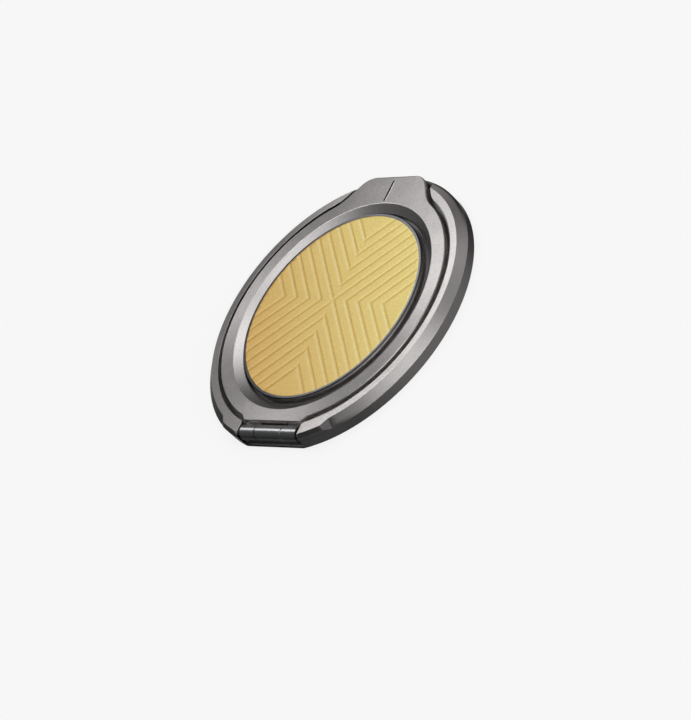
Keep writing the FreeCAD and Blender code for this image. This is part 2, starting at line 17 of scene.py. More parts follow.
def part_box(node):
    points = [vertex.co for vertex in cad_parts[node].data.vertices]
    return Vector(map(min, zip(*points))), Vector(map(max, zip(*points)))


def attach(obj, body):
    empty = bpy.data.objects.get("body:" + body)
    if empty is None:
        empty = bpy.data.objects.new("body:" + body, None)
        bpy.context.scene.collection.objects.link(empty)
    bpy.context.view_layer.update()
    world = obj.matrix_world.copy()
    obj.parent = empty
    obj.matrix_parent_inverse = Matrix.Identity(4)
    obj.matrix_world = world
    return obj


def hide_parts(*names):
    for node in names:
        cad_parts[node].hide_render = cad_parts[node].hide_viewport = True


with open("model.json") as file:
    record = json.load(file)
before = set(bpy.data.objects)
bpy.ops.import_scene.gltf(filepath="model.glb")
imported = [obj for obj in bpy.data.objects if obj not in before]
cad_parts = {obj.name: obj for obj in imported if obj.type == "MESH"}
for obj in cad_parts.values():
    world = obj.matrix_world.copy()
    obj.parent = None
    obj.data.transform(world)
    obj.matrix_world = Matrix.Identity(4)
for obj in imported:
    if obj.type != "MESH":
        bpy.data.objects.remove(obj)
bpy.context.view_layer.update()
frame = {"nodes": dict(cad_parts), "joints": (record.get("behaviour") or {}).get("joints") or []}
nodes = frame["nodes"]
MM = 0.001

# %% [markdown]
# ## Sizes from the frame
# The inlay and the finishes need to know where rim, ring, boss and hinge lie. What the boxes of the CAD
# nodes show is measured on them, in millimetres to the hundredth, and the hinge's axis comes from its
# joint. Only a few radii and a height that no box shows are written down.


# %% Measure the nodes
def measured(name):
    """Lowest and highest corner of a CAD node, in millimetres to the hundredth."""
    return [[round(value / MM, 2) for value in corner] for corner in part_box(name)]


BASE_RADIUS = measured("base_frame")[1][1]
RING_RADIUS, TAB_END, RING_TOP = measured("stand_ring")[1]
RIM_EDGE, RIM_WALL, RING_BEVEL, RING_INNER, BOSS_RADIUS = 28.0, 26.45, 22.69, 20.95, 20.4
BOSS_TOP = 3.53
HINGE_Y, HINGE_Z = (round(value / MM, 2) for value in frame["joints"][0]["pos_m"][1:])
KNUCKLE = round(HINGE_Y - measured("hinge_block")[0][1], 2)
print("base radius:", BASE_RADIUS, "ring radius, tab end and top:", RING_RADIUS, TAB_END, RING_TOP)
print("hinge at y, z:", HINGE_Y, HINGE_Z, "knuckle radius:", KNUCKLE)

# %% [markdown]
# ## Tools for node trees
# Every finish here is a small tree of shader nodes. A tree can be laid out by hand in Blender's editor,
# but a script can be read and repeated. A few helpers keep it readable: one that fills a socket from a
# number, a colour or another socket, and one each for arithmetic, soft steps, mixed colours and noise.


# %% Node helpers
def put(tree, socket, value):
    """Fill a socket from another socket, a number, a vector or a colour."""
    if isinstance(value, bpy.types.NodeSocket):
        tree.links.new(value, socket)
    elif isinstance(value, tuple) and socket.type == "RGBA":
        socket.default_value = (*value, 1)
    else:
        socket.default_value = value


def add(tree, kind, **settings):
    """A new node with its settings."""
    node = tree.nodes.new(kind)
    for name, value in settings.items():
        setattr(node, name, value)
    return node


def calc(tree, operation, *values):
    """One step of arithmetic."""
    node = add(tree, "ShaderNodeMath", operation=operation)
    for socket, value in zip(node.inputs, values):
        put(tree, socket, value)
    return node.outputs[0]


def vector_calc(tree, operation, first, second):
    """One step of vector arithmetic; for SCALE the second value is the factor."""
    node = add(tree, "ShaderNodeVectorMath", operation=operation)
    put(tree, node.inputs[0], first)
    put(tree, node.inputs["Scale" if operation == "SCALE" else 1], second)
    return node.outputs["Value" if operation == "DOT_PRODUCT" else "Vector"]


def hypotenuse(tree, first, second):
    """Root of the sum of two squares."""
    squares = [calc(tree, "MULTIPLY", leg, leg) for leg in (first, second)]
    return calc(tree, "SQRT", calc(tree, "ADD", *squares))


def ramp(tree, value, start, end):
    """Smooth step from 0 at the start value to 1 at the end value."""
    node = add(tree, "ShaderNodeMapRange", interpolation_type="SMOOTHSTEP")
    for socket, number in zip(node.inputs, (value, start, end)):
        put(tree, socket, number)
    return node.outputs["Result"]


def sector(tree, angle, start, end):
    """Smooth step over an angle, with its start and end in degrees."""
    return ramp(tree, angle, math.radians(start), math.radians(end))


def band(tree, value, low, high, soft):
    """1 between two limits and 0 outside them, with soft ends."""
    rise = ramp(tree, value, low - soft, low + soft)
    fall = ramp(tree, value, high + soft, high - soft)
    return calc(tree, "MULTIPLY", rise, fall)


def blend(tree, share, first, second):
    """Mix of two colours, or of two normals."""
    node = add(tree, "ShaderNodeMix", data_type="RGBA")
    for index, value in ((0, share), (6, first), (7, second)):
        put(tree, node.inputs[index], value)
    return node.outputs[2]


def noise(tree, vector, scale, detail=2.0):
    """Cloudy noise between 0 and 1 on the given coordinates."""
    node = add(tree, "ShaderNodeTexNoise")
    for name, value in (("Vector", vector), ("Scale", scale), ("Detail", detail)):
        put(tree, node.inputs[name], value)
    return node.outputs[0]


def bump(tree, height, distance, normal=None):
    """A bumped normal, from a height that is read over a depth in metres."""
    node = add(tree, "ShaderNodeBump")
    for name, value in (("Strength", 1.0), ("Distance", distance), ("Height", height)):
        put(tree, node.inputs[name], value)
    if normal is not None:
        put(tree, node.inputs["Normal"], normal)
    return node.outputs["Normal"]


print("node helpers:", ", ".join(tool.__name__ for tool in (calc, ramp, sector, band, blend, noise, bump)))

# %% [markdown]
# ## Groups and materials
# What several materials share goes into a node group, as a workshop keeps one jig for many parts. A
# group has named sockets and gives out only values that change over the surface. The shader itself
# stays in the material, with its constants set on its own sockets, because the export reads it there.


# %% Group and material helpers
def new_group(name, inputs, outputs):
    """An empty node group with named sockets, and its two ends."""
    tree = bpy.data.node_groups.new(name, "ShaderNodeTree")
    for way, sockets in (("INPUT", inputs), ("OUTPUT", outputs)):
        for label, kind in sockets.items():
            tree.interface.new_socket(label, in_out=way, socket_type=f"NodeSocket{kind}")
    return tree, add(tree, "NodeGroupInput").outputs, add(tree, "NodeGroupOutput").inputs


def use(tree, group, **values):
    """A node group at work in a tree, with its inputs filled."""
    node = add(tree, "ShaderNodeGroup", node_tree=group)
    for name, value in values.items():
        put(tree, node.inputs[name], value)
    return node.outputs


def new_material(name, **constants):
    """A Principled material; the constants are set on the shader's own sockets."""
    material = bpy.data.materials.new(name)
    material.use_nodes = True
    shader = material.node_tree.nodes["Principled BSDF"].inputs
    for label, value in constants.items():
        shader[label.replace("_", " ")].default_value = value
    return material, material.node_tree, shader


def dress(material, *names):
    """Give a CAD node's mesh this one material."""
    for name in names:
        nodes[name].data.materials.clear()
        nodes[name].data.materials.append(material)


print("nodes to dress:", ", ".join(sorted({name.rstrip("_0123456789") for name in nodes})))

# %% [markdown]
# ## Where a point lies
# The stand is almost a turned part, so the handiest coordinates are the distance from its axis, the
# height over the floor and the angle in plan. A group works them out in millimetres from the Object
# coordinates, with how far the face looks upwards and towards the hinge. Base, ring and barrel use it.

# %% Place group
PLACES = ("X", "Y", "Radius", "Height", "Angle", "Upward", "Hingeward")
place_group, _, place_out = new_group("place", {}, {name: "Float" for name in PLACES})
tree = place_group
coordinates = add(tree, "ShaderNodeTexCoord").outputs
split = add(tree, "ShaderNodeSeparateXYZ")
put(tree, split.inputs[0], vector_calc(tree, "SCALE", coordinates["Object"], 1 / MM))
x, y, z = split.outputs
facing = add(tree, "ShaderNodeSeparateXYZ")
put(tree, facing.inputs[0], coordinates["Normal"])
put(tree, place_out["X"], x)
put(tree, place_out["Y"], y)
put(tree, place_out["Radius"], hypotenuse(tree, x, y))
put(tree, place_out["Height"], z)
put(tree, place_out["Angle"], calc(tree, "ARCTAN2", y, x))
put(tree, place_out["Upward"], facing.outputs["Z"])
put(tree, place_out["Hingeward"], calc(tree, "MULTIPLY", facing.outputs["Y"], -1.0))
print("place group:", [socket.name for socket in place_out if socket.name])

# %% [markdown]
# ## The blasted grain
# Before it is coloured, the metal is blasted with fine glass beads. That leaves dimples about a quarter
# of a millimetre apart, which sparkle a little lighter and darker, and faint clouds where the nozzle
# passed twice. The group gives the sparkle as a tone around 1 and the dimples as a height.

# %% Grain group
CLOUD_SCALE, CLOUD_SHARE = 0.06, 0.3
MOTTLE_MEAN = 0.5 + 0.5 * CLOUD_SHARE
grain_group, grain_in, grain_out = new_group(
    "blasted_grain", {"Scale": "Float", "Contrast": "Float"}, {"Tone": "Float", "Height": "Float"})
tree = grain_group
coordinates = add(tree, "ShaderNodeTexCoord").outputs["Object"]
dimples = noise(tree, coordinates, grain_in["Scale"])
clouds = noise(tree, coordinates, calc(tree, "MULTIPLY", grain_in["Scale"], CLOUD_SCALE), 3.0)
mottle = calc(tree, "ADD", dimples, calc(tree, "MULTIPLY", clouds, CLOUD_SHARE))
swing = calc(tree, "MULTIPLY", calc(tree, "SUBTRACT", mottle, MOTTLE_MEAN), grain_in["Contrast"])
put(tree, grain_out["Tone"], calc(tree, "ADD", swing, 1.0))
put(tree, grain_out["Height"], dimples)
print("grain group nodes:", len(tree.nodes))

# %% [markdown]
# ## Worn edges
# No machined edge is quite sharp: it is broken by a fine radius, and hands and pockets rub it bright.
# Cycles' Bevel node looks round a point for other faces and answers with a rounded normal. Where that
# differs from the true one there is an edge, so the same node gives the rounding and a mask. On the
# gunmetal that mask paints the edges lighter as a painted highlight.

# %% Edge group
FLAT_COSINE, EDGE_COSINE = 0.995, 0.9
edge_group, edge_in, edge_out = new_group(
    "edge_wear_and_highlight", {"Radius": "Float"}, {"Mask": "Float", "Normal": "Vector"})
tree = edge_group
rounding = add(tree, "ShaderNodeBevel", samples=6)
put(tree, rounding.inputs["Radius"], edge_in["Radius"])
true_normal = add(tree, "ShaderNodeNewGeometry").outputs["Normal"]
agreement = vector_calc(tree, "DOT_PRODUCT", rounding.outputs[0], true_normal)
put(tree, edge_out["Mask"], ramp(tree, agreement, FLAT_COSINE, EDGE_COSINE))
put(tree, edge_out["Normal"], rounding.outputs[0])
print("edge group nodes:", len(tree.nodes))

# %% [markdown]
# ## The lay of the flat faces
# A blasted flat is never optically flat: it waves by a few degrees, so a broad soft reflection swells
# and fades along it. Noise would do this at random. Here the waves follow the photograph, so the lean of
# the normal is written as a mean and the first four terms of a Fourier series of the plan angle, all in
# degrees. It leans along one heading, and only where a face looks up.

# %% Lean group
LEAN_TURN = math.radians(-27)
HEADING = (math.cos(LEAN_TURN), math.sin(LEAN_TURN), 0.0)
WAVES = range(1, 5)
lean_sockets = {"Normal": "Vector", "Mean": "Float"}
lean_sockets |= {f"{part}{wave}": "Float" for wave in WAVES for part in ("Wave", "Phase")}
lean_group, lean_in, lean_out = new_group("lay_lean", lean_sockets, {"Normal": "Vector"})
tree = lean_group
place = use(tree, place_group)
lean = lean_in["Mean"]
for wave in WAVES:
    phase = calc(tree, "RADIANS", lean_in[f"Phase{wave}"])
    turned = calc(tree, "SUBTRACT", calc(tree, "MULTIPLY", place["Angle"], wave), phase)
    swing = calc(tree, "MULTIPLY", calc(tree, "COSINE", turned), lean_in[f"Wave{wave}"])
    lean = calc(tree, "ADD", lean, swing)
lean = calc(tree, "MULTIPLY", calc(tree, "RADIANS", lean), ramp(tree, place["Upward"], 0.95, 0.99))
to_world = add(tree, "ShaderNodeVectorTransform", vector_type="VECTOR",
               convert_from="OBJECT", convert_to="WORLD")
put(tree, to_world.inputs[0], vector_calc(tree, "SCALE", HEADING, lean))
leaned = vector_calc(tree, "ADD", lean_in["Normal"], to_world.outputs[0])
unit = add(tree, "ShaderNodeVectorMath", operation="NORMALIZE")
put(tree, unit.inputs[0], leaned)
put(tree, lean_out["Normal"], unit.outputs[0])
print("lean group nodes:", len(tree.nodes))

# %% [markdown]
# ## Drawn steel
# Pins, knuckles and rivets come from drawn bar and are polished along the hinge, so their scratches run
# along X. Noise on coordinates squeezed along X gives such lines. They tint the metal slightly and
# break up its gloss.

# %% Drawn steel group
LINE_SQUEEZE, LINE_SCALE, GLOSS_SWING = (0.04, 1.0, 1.0), 9000.0, 0.06
drawn_group, drawn_in, drawn_out = new_group(
    "drawn_lines", {"Contrast": "Float", "Gloss": "Float"}, {"Tone": "Float", "Roughness": "Float"})
tree = drawn_group
squeeze = add(tree, "ShaderNodeMapping")
put(tree, squeeze.inputs["Scale"], LINE_SQUEEZE)
put(tree, squeeze.inputs["Vector"], add(tree, "ShaderNodeTexCoord").outputs["Object"])
lines = calc(tree, "SUBTRACT", noise(tree, squeeze.outputs[0], LINE_SCALE, 3.0), 0.5)
tone_swing = calc(tree, "MULTIPLY", lines, drawn_in["Contrast"])
gloss_swing = calc(tree, "MULTIPLY", lines, GLOSS_SWING)
put(tree, drawn_out["Tone"], calc(tree, "ADD", tone_swing, 1.0))
put(tree, drawn_out["Roughness"], calc(tree, "ADD", gloss_swing, drawn_in["Gloss"]))
print("drawn steel group nodes:", len(tree.nodes))

# %% [markdown]
# ## Gunmetal
# Base and ring are taken to be zinc castings with a dark gunmetal plating. The blasted upper faces are
# pale. Walls and the channel are painted dark as painted shade, and some walls in the channel and the
# gaps are painted bright as painted light. So one recipe takes a list of zones over the pale top tint,
# each a tint and the masks that limit it. The grain is strongest on the flats, and the edges above the
# channel are painted lighter as a painted highlight.

# %% Gunmetal recipe
# The top tint is the metal's own; after it come two tints of painted shade for walls and deep places, and
# a pale tint of painted light for lit walls and painted edge highlights.
TOP_TINT = (0.43, 0.413, 0.407)
WALL_SHADE_TINT = (0.13, 0.126, 0.124)
DEEP_SHADE_TINT = (0.052, 0.05, 0.05)
PAINTED_LIGHT_TINT = (0.885, 0.861, 0.85)
METAL_EDGE_TINT = (0.3, 0.3, 0.3, 1)
BLAST_SCALE, BLAST_DEPTH, BLAST_GLOSS = 4200.0, 0.012 * MM, 0.3
FLAT_CONTRAST, CONTRAST_LOSS = 0.9, 0.5
EDGE_HIGHLIGHT_SHARE = 0.2


def turned_from(tree, place, middle):
    """Plan angle from a middle direction in degrees, without its sign."""
    return calc(tree, "ABSOLUTE", calc(tree, "SUBTRACT", place["Angle"], math.radians(middle)))


def gunmetal(name, zones, waves, bevel_gloss, rounding):
    """Blasted metal: top tint, zones over it, grain and painted edge highlights, on normals with the given
    lay.
    The edges' rounding is given for the inner part of the piece and for the outer part."""
    material, tree, shader = new_material(name, Metallic=1.0, Specular_Tint=METAL_EDGE_TINT)
    place = use(tree, place_group)
    steep = ramp(tree, place["Upward"], 0.98, 0.9)
    contrast = calc(tree, "SUBTRACT", FLAT_CONTRAST, calc(tree, "MULTIPLY", steep, CONTRAST_LOSS))
    grain = use(tree, grain_group, Scale=BLAST_SCALE, Contrast=contrast)
    inner, outer = rounding
    inward = ramp(tree, place["Radius"], RING_RADIUS - 1.0, RING_RADIUS - 1.4)
    change = calc(tree, "MULTIPLY", inward, inner - outer)
    edge = use(tree, edge_group, Radius=calc(tree, "ADD", change, outer))
    lay = use(tree, lean_group, Normal=edge["Normal"], **waves)
    colour = TOP_TINT
    for tint, masks in zones(tree, place):
        share = masks[0]
        for mask in masks[1:]:
            share = calc(tree, "MULTIPLY", share, mask)
        colour = blend(tree, share, colour, tint)
    # Edges above the channel and beyond the boss are painted lighter: a painted highlight.
    edge_highlight = calc(tree, "MULTIPLY", edge["Mask"], ramp(tree, place["Height"], 2.2, 3.0))
    beyond_boss = ramp(tree, place["Radius"], BOSS_RADIUS + 0.5, BOSS_RADIUS + 1.0)
    edge_highlight = calc(tree, "MULTIPLY", edge_highlight, beyond_boss)
    colour = blend(tree, calc(tree, "MULTIPLY", edge_highlight, EDGE_HIGHLIGHT_SHARE), colour, PAINTED_LIGHT_TINT)
    put(tree, shader["Base Color"], vector_calc(tree, "SCALE", colour, grain["Tone"]))
    put(tree, shader["Normal"], bump(tree, grain["Height"], BLAST_DEPTH, lay["Normal"]))
    polish = calc(tree, "MULTIPLY", steep, bevel_gloss - BLAST_GLOSS)
    put(tree, shader["Roughness"], calc(tree, "ADD", polish, BLAST_GLOSS))
    return material, tree, shader, place


print("gunmetal recipe, top tint", TOP_TINT)

# %% [markdown]
# ## The base
# The zones of the base go from its outer wall inwards: wall, the foot of the outer bevel, the wings
# beside the hinge with their sloping run-outs, the rim's inner wall, the channel, the boss with its lip,
# and the pocket and shelf of the hinge. Most of these tints are painted light and shade: the outer wall,
# the bevel foot, the run-outs and wing slopes, the channel, the boss's edge and lower wall, and what is
# turned away in plan are painted shade, and the rim and boss walls and the pocket's walls are painted
# light. The terms of the lay were fitted to the brightness along the rim.

# %% Base metal
# The away, run-out, channel and boss tints are painted shade; the back tint is painted light.
AWAY_SHADE_TINT = (0.1, 0.097, 0.096)
RUN_OUT_SHADE_TINT = (0.175, 0.17, 0.168)
CHANNEL_SHADE_TINT = (0.094, 0.092, 0.092)
BOSS_SHADE_TINT = (0.17, 0.166, 0.165)
LIP_TINT = (0.168, 0.172, 0.189)
BACK_LIGHT_TINT = (0.48, 0.47, 0.465)
SHELF_TINT = (0.4, 0.385, 0.38)
POCKET_HALF, POCKET_FRONT, POCKET_BACK, SHELF_FRONT = 8.1, -27.75, -23.4, -28.35
BASE_NEAR = -5
BASE_LAY = {"Mean": -0.82, "Wave1": 4.18, "Phase1": 23.4, "Wave2": 0.7, "Phase2": 161.9,
            "Wave3": 0.21, "Phase3": 302.1, "Wave4": 0.61, "Phase4": 80.2}


def base_zones(tree, place):
    """Tints of the base, each with the masks that limit it, which are multiplied."""
    x, y, radius, height = (place[name] for name in ("X", "Y", "Radius", "Height"))
    upward, angle = place["Upward"], place["Angle"]
    side = ramp(tree, calc(tree, "ABSOLUTE", upward), 0.5, 0.25)
    top = ramp(tree, upward, 0.8, 0.95)
    slope = ramp(tree, upward, 0.95, 0.85)
    bevel = band(tree, upward, 0.4, 0.9, 0.05)
    run_out = band(tree, upward, 0.55, 0.8, 0.05)
    from_near = turned_from(tree, place, BASE_NEAR)
    aside = calc(tree, "ABSOLUTE", x)
    from_hinge = calc(tree, "ARCTAN2", aside, calc(tree, "MULTIPLY", y, -1.0))
    run_out_sector = band(tree, from_hinge, math.radians(26.4), math.radians(32.5), 0.03)
    outside = ramp(tree, radius, RIM_EDGE + 0.1, RIM_EDGE + 0.3)
    bevel_foot = ramp(tree, radius, BASE_RADIUS - 0.63, BASE_RADIUS - 0.08)
    rim_wall = band(tree, radius, RIM_WALL - 0.75, RIM_WALL + 0.15, 0.1)
    rim_lip = band(tree, radius, RIM_WALL - 0.15, RIM_WALL + 0.19, 0.06)
    boss_wall = band(tree, radius, BOSS_RADIUS - 0.2, BOSS_RADIUS + 0.3, 0.05)
    boss_lip = band(tree, radius, BOSS_RADIUS - 0.7, BOSS_RADIUS + 0.02, 0.03)
    boss_edge = band(tree, radius, BOSS_RADIUS - 0.16, BOSS_RADIUS + 0.06, 0.03)
    pocket_x = ramp(tree, aside, POCKET_HALF + 0.025, POCKET_HALF)
    pocket_end = ramp(tree, aside, POCKET_HALF - 0.1, POCKET_HALF - 0.05)
    pocket_y = band(tree, y, POCKET_FRONT, POCKET_BACK, 0.04)
    shelf = band(tree, y, SHELF_FRONT, POCKET_FRONT, 0.04)
    # Painted shade darkens the walls, bevel foot, run-outs, channel, boss edge and turned-away sides;
    # painted light brightens the rim, boss and pocket walls.
    return [
        (WALL_SHADE_TINT, [side, outside]),
        (DEEP_SHADE_TINT, [side, outside, sector(tree, from_near, 12, 48)]),
        (AWAY_SHADE_TINT, [side, outside, sector(tree, angle, 15, 45)]),
        (DEEP_SHADE_TINT, [slope, bevel_foot, sector(tree, from_near, 38, 58)]),
        (RUN_OUT_SHADE_TINT, [run_out, run_out_sector, ramp(tree, radius, RIM_EDGE, RIM_EDGE + 0.2)]),
        (WALL_SHADE_TINT, [bevel, ramp(tree, radius, RIM_EDGE - 1.0, RIM_EDGE - 0.8),
                     ramp(tree, x, POCKET_HALF + 0.1, POCKET_HALF + 0.4),
                     sector(tree, from_hinge, 26.6, 26)]),
        (WALL_SHADE_TINT, [slope, ramp(tree, radius, RIM_EDGE, RIM_EDGE + 0.15),
                     ramp(tree, x, -8.3, -9.5), ramp(tree, y, -14.0, -19.0)]),
        (PAINTED_LIGHT_TINT, [side, rim_wall]),
        (AWAY_SHADE_TINT, [side, rim_wall, ramp(tree, x, 2.0, -4.0), ramp(tree, y, -6.0, 2.0)]),
        (CHANNEL_SHADE_TINT, [top, ramp(tree, height, 2.5, 2.3)]),
        (PAINTED_LIGHT_TINT, [side, boss_wall]),
        (BOSS_SHADE_TINT, [side, boss_wall, ramp(tree, height, BOSS_TOP - 0.63, BOSS_TOP - 0.08)]),
        (LIP_TINT, [top, boss_lip]),
        (DEEP_SHADE_TINT, [boss_edge, ramp(tree, height, BOSS_TOP - 0.09, BOSS_TOP - 0.01)]),
        (DEEP_SHADE_TINT, [top, rim_lip, sector(tree, from_near, 80, 30)]),
        (PAINTED_LIGHT_TINT, [pocket_x, pocket_y, ramp(tree, height, 3.5, 3.4)]),
        (BACK_LIGHT_TINT, [side, pocket_x, pocket_y, pocket_end]),
        (SHELF_TINT, [top, pocket_x, shelf, ramp(tree, height, 3.4, 3.3)]),
    ]


base_metal, tree, _, _ = gunmetal("gunmetal_base", base_zones, BASE_LAY, 0.32, (0.02 * MM, 0.1 * MM))
dress(base_metal, "base_frame")
print("base metal nodes:", len(tree.nodes))

# %% [markdown]
# ## The ring
# The ring has the same finish. Its inner bevel is painted lighter on the near side and darker on the far
# side, as painted light and shade. Its outer wall is painted bright as painted light, the tab's sides and
# end are painted shade, and the tab's slit is painted dark as painted shade, with one lip painted bright
# as a painted highlight. Its lay was fitted in the same way.

# %% Ring tints
# Painted light on the near side of the inner bevel, painted shade on its far side.
NEAR_BEVEL_LIGHT_TINT = (0.66, 0.64, 0.63)
FAR_BEVEL_SHADE_TINT = (0.38, 0.366, 0.361)
RING_NEAR = -30
RING_LAY = {"Mean": -1.05, "Wave1": 1.85, "Phase1": 56.0, "Wave2": 1.42, "Phase2": 58.0,
            "Wave3": 1.15, "Phase3": 117.5, "Wave4": 1.08, "Phase4": 4.4}


def ring_zones(tree, place):
    """Tints of the ring, each with the masks that limit it, which are multiplied."""
    x, y, radius, height = (place[name] for name in ("X", "Y", "Radius", "Height"))
    side = ramp(tree, calc(tree, "ABSOLUTE", place["Upward"]), 0.5, 0.25)
    slope = band(tree, place["Upward"], 0.8, 0.95, 0.03)
    inner = band(tree, radius, RING_INNER - 0.05, RING_BEVEL + 0.06, 0.05)
    from_near = turned_from(tree, place, RING_NEAR)
    outer_wall = ramp(tree, radius, RING_RADIUS - 0.8, RING_RADIUS - 0.6)
    tab_side = ramp(tree, radius, RING_RADIUS + 0.2, RING_RADIUS + 0.5)
    slit = band(tree, x, -0.26, 0.2, 0.03)
    slit_lip = band(tree, x, 0.2, 0.38, 0.03)
    slit_length = band(tree, y, 23.2, 27.8, 0.1)
    # Painted light and shade: bevel sides, outer wall, tab sides and end, the slit and its bright lip.
    return [
        (NEAR_BEVEL_LIGHT_TINT, [slope, inner, sector(tree, from_near, 80, 50)]),
        (FAR_BEVEL_SHADE_TINT, [slope, inner, sector(tree, from_near, 100, 130)]),
        (PAINTED_LIGHT_TINT, [side, outer_wall, ramp(tree, height, 2.7, 2.9)]),
        (WALL_SHADE_TINT, [side, tab_side, ramp(tree, y, 25.8, 26.4)]),
        (DEEP_SHADE_TINT, [ramp(tree, y, TAB_END - 0.3, TAB_END - 0.15)]),
        (PAINTED_LIGHT_TINT, [slit_lip, slit_length, ramp(tree, height, RING_TOP - 0.05, RING_TOP - 0.02)]),
        (DEEP_SHADE_TINT, [slit, slit_length, ramp(tree, height, 3.3, 3.4)]),
    ]


ring_metal, tree, shader, place = gunmetal(
    "gunmetal_ring", ring_zones, RING_LAY, 0.265, (0.18 * MM, 0.01 * MM))
print("ring metal nodes:", len(tree.nodes))

# %% [markdown]
# ## The ring's knuckles
# The two outer knuckles are cast in one with the ring, but they are polished with the barrel. A second
# material would need the mesh cut in two. The distance from the hinge axis tells the knuckles from the
# rest just as well, and within it the material turns to glossy, drawn steel, painted pale behind as
# painted light and dark along its front as painted shade.

# %% Knuckle metal
STEEL_TINT = (0.3, 0.304, 0.31)
# Painted shade along the front and lower front of the barrel.
FRONT_SHADE_TINT = (0.03, 0.03, 0.031)
UNDERSIDE_SHADE_TINT = (0.1, 0.1, 0.102)
BARREL_CONTRAST, BARREL_GLOSS = 0.2, 0.28


def barrel_tint(tree, place):
    """Polished steel, painted paler behind as painted light and dark along the front as painted shade."""
    polished = blend(tree, ramp(tree, place["Hingeward"], -0.05, -0.4), STEEL_TINT, BACK_LIGHT_TINT)
    front = blend(tree, ramp(tree, place["Upward"], 0.4, 0.0), FRONT_SHADE_TINT, UNDERSIDE_SHADE_TINT)
    return blend(tree, ramp(tree, place["Hingeward"], 0.7, 0.93), polished, front)


across = calc(tree, "SUBTRACT", place["Y"], HINGE_Y)
above = calc(tree, "SUBTRACT", place["Height"], HINGE_Z)
knuckle = ramp(tree, hypotenuse(tree, across, above), KNUCKLE + 0.1, KNUCKLE + 0.05)
drawn = use(tree, drawn_group, Contrast=BARREL_CONTRAST, Gloss=BARREL_GLOSS)
blasted = shader["Base Color"].links[0].from_socket
polished = vector_calc(tree, "SCALE", barrel_tint(tree, place), drawn["Tone"])
put(tree, shader["Base Color"], blend(tree, knuckle, blasted, polished))
blasted_normal = shader["Normal"].links[0].from_socket
smooth_normal = add(tree, "ShaderNodeNewGeometry").outputs["Normal"]
put(tree, shader["Normal"], blend(tree, knuckle, blasted_normal, smooth_normal))
blasted_gloss = shader["Roughness"].links[0].from_socket
gloss = calc(tree, "MULTIPLY", calc(tree, "SUBTRACT", drawn["Roughness"], blasted_gloss), knuckle)
put(tree, shader["Roughness"], calc(tree, "ADD", gloss, blasted_gloss))
dress(ring_metal, "stand_ring")
print("ring metal with knuckles, nodes:", len(tree.nodes))

# %% [markdown]
# ## Barrel, pin, rivets, shunt and magnets
# These are all drawn, rolled or plated metals. They differ in tint and gloss: the barrel's middle
# knuckle gets the outer ones' polished tint, with the same painted light behind and painted shade along
# its front, the pin and rivets are bright steel, the shunt is plain rolled strip and the magnets are
# nickel-plated.

# %% Plain metals
WORN_TINT, WORN_SHARE, METAL_ROUNDING = (0.6, 0.6, 0.6), 0.1, 0.08 * MM
MAGNETS = [f"magnet_{index:02d}" for index in range(1, 19)]
# Tint (the barrel's own where there is none), gloss, contrast of the drawn lines, and the nodes.
METALS = {
    "hinge_steel": (None, BARREL_GLOSS, BARREL_CONTRAST, ["hinge_block"]),
    "pin_steel": ((0.55, 0.55, 0.55), 0.2, 0.4, ["hinge_pin"]),
    "rivet_steel": ((0.5, 0.5, 0.49), 0.3, 0.5, ["hinge_rivet_left", "hinge_rivet_right"]),
    "shunt_steel": ((0.36, 0.36, 0.37), 0.38, 0.6, ["shunt_ring"]),
    "magnet_nickel": ((0.6, 0.57, 0.52), 0.24, 0.3, MAGNETS),
}
for name, (tint, gloss, contrast, wearers) in METALS.items():
    material, tree, shader = new_material(name, Metallic=1.0, Specular_Tint=METAL_EDGE_TINT)
    drawn = use(tree, drawn_group, Contrast=contrast, Gloss=gloss)
    edge = use(tree, edge_group, Radius=METAL_ROUNDING)
    bare = tint or barrel_tint(tree, use(tree, place_group))
    worn = blend(tree, calc(tree, "MULTIPLY", edge["Mask"], WORN_SHARE), bare, WORN_TINT)
    put(tree, shader["Base Color"], vector_calc(tree, "SCALE", worn, drawn["Tone"]))
    put(tree, shader["Roughness"], drawn["Roughness"])
    put(tree, shader["Normal"], edge["Normal"])
    dress(material, *wearers)
    print(name, "on", len(wearers), "nodes")

# %% [markdown]
# ## Pebbled skins
# The inlay is a leather-grained sheet and the back pad a soft moulded rubber. Both have a skin of small
# rounded pebbles with fine creases between them. Voronoi cells bent by noise give the pebbles; the
# group puts out their height and a tone that is lower in the creases.

# %% Pebble group
PEBBLE_BEND, PEBBLE_MEAN = 0.5, 0.6
pebble_group, pebble_in, pebble_out = new_group(
    "pebbled_skin", {"Scale": "Float", "Contrast": "Float"}, {"Tone": "Float", "Height": "Float"})
tree = pebble_group
coordinates = add(tree, "ShaderNodeTexCoord").outputs["Object"]
wander = add(tree, "ShaderNodeTexNoise")
put(tree, wander.inputs["Vector"], coordinates)
put(tree, wander.inputs["Scale"], pebble_in["Scale"])
reach = calc(tree, "DIVIDE", PEBBLE_BEND, pebble_in["Scale"])
bent = vector_calc(tree, "ADD", coordinates, vector_calc(tree, "SCALE", wander.outputs["Color"], reach))
cells = add(tree, "ShaderNodeTexVoronoi", feature="SMOOTH_F1")
put(tree, cells.inputs["Vector"], bent)
put(tree, cells.inputs["Scale"], pebble_in["Scale"])
height = calc(tree, "SUBTRACT", 1.0, cells.outputs["Distance"])
swing = calc(tree, "MULTIPLY", calc(tree, "SUBTRACT", height, PEBBLE_MEAN), pebble_in["Contrast"])
put(tree, pebble_out["Tone"], calc(tree, "ADD", swing, 1.0))
put(tree, pebble_out["Height"], height)
print("pebble group nodes:", len(tree.nodes))

